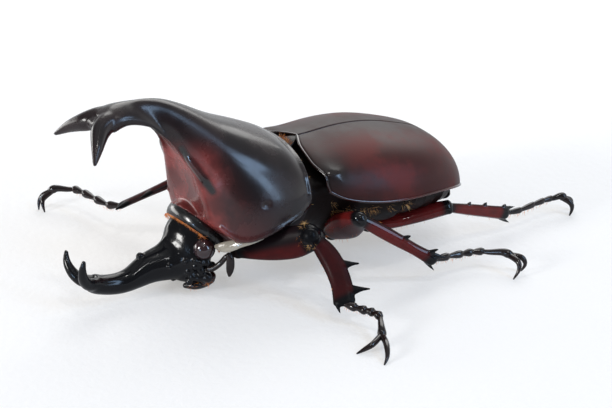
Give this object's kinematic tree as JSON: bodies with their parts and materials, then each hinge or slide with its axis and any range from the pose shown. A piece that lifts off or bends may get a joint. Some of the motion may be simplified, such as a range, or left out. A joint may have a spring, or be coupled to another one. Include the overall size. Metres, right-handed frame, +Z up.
{
  "type": "rhinoceros beetle model",
  "caption": "Still, life-size model of a male rhinoceros beetle standing, with a forked horn on the thorax and a forked horn on the head.",
  "frame": {"origin": "middle of the beetle's reach in X and Y, on the floor that its claws stand on", "axes": "+Z up, -Y the way the beetle faces, +X its left side"},
  "size_m": [0.0714, 0.0828, 0.0299],
  "materials": {
    "shell_black": "polished black shell of the horns, head and feet",
    "shell_dark_red": "polished red-black shell of the thorax shield",
    "wing_case_red": "satin dark red-brown wing cases",
    "leg_red": "polished dark red thighs and shins",
    "eye_brown": "glassy dark brown eyes",
    "feeler_brown": "satin brown feelers",
    "belly_black": "dull black-brown underside"
  },
  "bodies": {
    "root": {"pronotum": "shell_dark_red", "thorax_horn": "shell_black", "thorax_horn_tine_left": "shell_black", "thorax_horn_tine_right": "shell_black", "head": "shell_black", "head_horn": "shell_black", "eye_left": "eye_brown", "eye_right": "eye_brown", "mandible_left": "shell_black", "mandible_right": "shell_black", "palp_left": "feeler_brown", "palp_right": "feeler_brown", "antenna_left": "feeler_brown", "antenna_right": "feeler_brown", "elytron_left": "wing_case_red", "elytron_right": "wing_case_red", "scutellum": "shell_black", "metathorax": "belly_black", "abdomen": "belly_black", "pygidium": "belly_black", "femur_front_left": "leg_red", "tibia_front_left": "leg_red", "tarsus_front_left": "shell_black", "femur_front_right": "leg_red", "tibia_front_right": "leg_red", "tarsus_front_right": "shell_black", "femur_middle_left": "leg_red", "tibia_middle_left": "leg_red", "tarsus_middle_left": "shell_black", "femur_middle_right": "leg_red", "tibia_middle_right": "leg_red", "tarsus_middle_right": "shell_black", "femur_hind_left": "leg_red", "tibia_hind_left": "leg_red", "tarsus_hind_left": "shell_black", "femur_hind_right": "leg_red", "tibia_hind_right": "leg_red", "tarsus_hind_right": "shell_black"}
  },
  "joints": []
}
